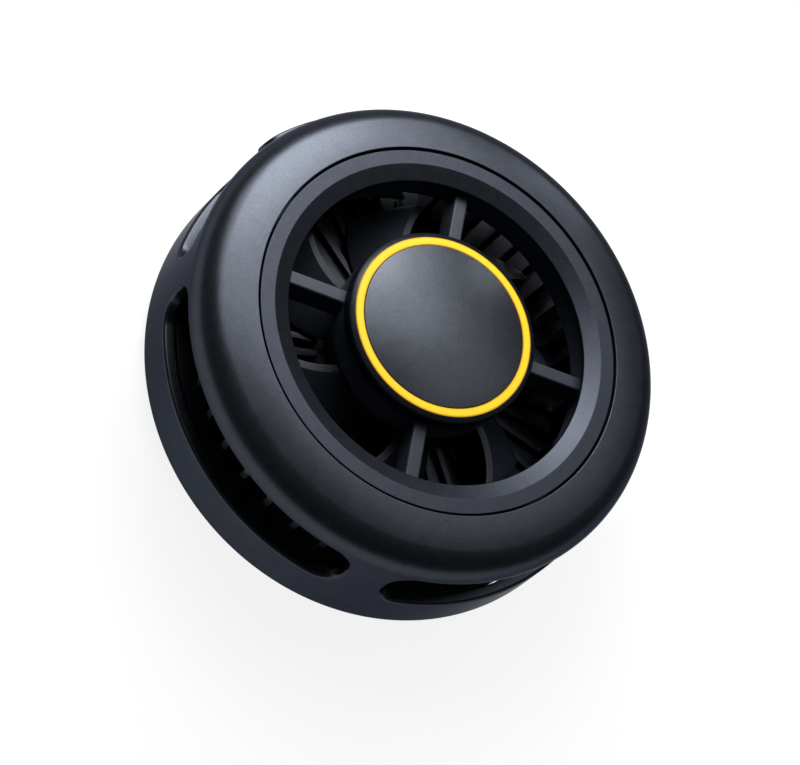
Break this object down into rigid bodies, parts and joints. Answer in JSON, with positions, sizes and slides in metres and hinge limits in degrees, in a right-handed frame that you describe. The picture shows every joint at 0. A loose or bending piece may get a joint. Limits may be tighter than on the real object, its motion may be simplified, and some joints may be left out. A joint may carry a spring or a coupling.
{
  "type": "phone cooling fan",
  "caption": "Round magnetic cooler for the back of a phone: a spoked fan with a lit ring round its hub draws air through a finned heat sink and out of side vents.",
  "frame": {"origin": "on the fan's axis, in the plane of the face that lies against the phone", "axes": "+Z along the fan's axis from the phone towards the front, +Y towards the charging socket"},
  "size_m": [0.066, 0.066, 0.0209],
  "materials": {
    "shell_coat": "satin metallic blue-grey paint on plastic",
    "bezel_coat": "satin blue-grey paint on plastic",
    "guard_plastic": "satin moulded plastic",
    "impeller_plastic": "semi-matt moulded plastic",
    "cap_coat": "satin metallic paint on plastic",
    "ring_acrylic": "translucent yellow, lit from behind",
    "board_laminate": "green lacquered glass laminate",
    "lamp_resin": "yellow lamp resin",
    "contact_metal": "bright plated pin",
    "core_steel": "stacked electrical steel",
    "winding_copper": "lacquered copper wire",
    "bush_bronze": "sintered bronze",
    "pad_nylon": "natural nylon",
    "shaft_steel": "ground steel",
    "clip_steel": "dark spring steel",
    "yoke_steel": "zinc plated steel",
    "ferrite": "bonded ferrite, dark grey",
    "magnet_nickel": "nickel plated magnet",
    "sink_aluminium": "dark anodised aluminium",
    "plate_aluminium": "machined aluminium",
    "pad_silicone": "soft dark silicone",
    "grip_silicone": "matt dark silicone",
    "sheet_silicone": "soft heat-conducting sheet",
    "alumina": "matt white alumina",
    "pellet_alloy": "dull grey semiconductor",
    "seal_silicone": "white silicone",
    "foam": "closed-cell foam",
    "cover_plastic": "matt moulded plastic",
    "screw_steel": "black zinc steel",
    "chip_resin": "matt epoxy",
    "inductor_resin": "moulded ferrite powder",
    "capacitor_ceramic": "tan ceramic",
    "socket_steel": "drawn nickel plated steel",
    "tongue_plastic": "black moulded plastic",
    "wire_cover": "black wire insulation",
    "wire_pair_cover": "red and black wire insulation"
  },
  "bodies": {
    "housing": {"bearing_bush": "bush_bronze", "board_screws": "screw_steel", "bottom_cover": "cover_plastic", "capacitors": "capacitor_ceramic", "cold_ceramic": "alumina", "cold_plate": "plate_aluminium", "contact_pad": "pad_silicone", "control_board": "board_laminate", "control_chip": "chip_resin", "fan_cable": "wire_cover", "fan_guard": "guard_plastic", "flux_ring": "yoke_steel", "front_bezel": "bezel_coat", "grip_ring": "grip_silicone", "heat_sink": "sink_aluminium", "hot_ceramic": "alumina", "housing_screws": "screw_steel", "hub_plate": "cap_coat", "hub_rim": "cap_coat", "inductor": "inductor_resin", "insulation_foam": "foam", "led_board": "board_laminate", "light_guide": "ring_acrylic", "link_pins": "contact_metal", "module_pellets": "pellet_alloy", "module_seal": "seal_silicone", "module_wires": "wire_pair_cover", "motor_board": "board_laminate", "outer_shell": "shell_coat", "ring_lamps": "lamp_resin", "ring_magnets": "magnet_nickel", "socket_sleeve": "socket_steel", "socket_tongue": "tongue_plastic", "stator_coils": "winding_copper", "stator_core": "core_steel", "thermal_sheet": "sheet_silicone", "thrust_pad": "pad_nylon"},
    "rotor": {"impeller": "impeller_plastic", "rotor_yoke": "yoke_steel", "rotor_magnet": "ferrite", "motor_shaft": "shaft_steel", "shaft_clip": "clip_steel"}
  },
  "joints": [
    {"name": "fan_spin", "type": "hinge", "parent": "housing", "child": "rotor", "pos_m": [0, 0, 0.0125], "axis": [0, 0, 1], "continuous": true}
  ]
}
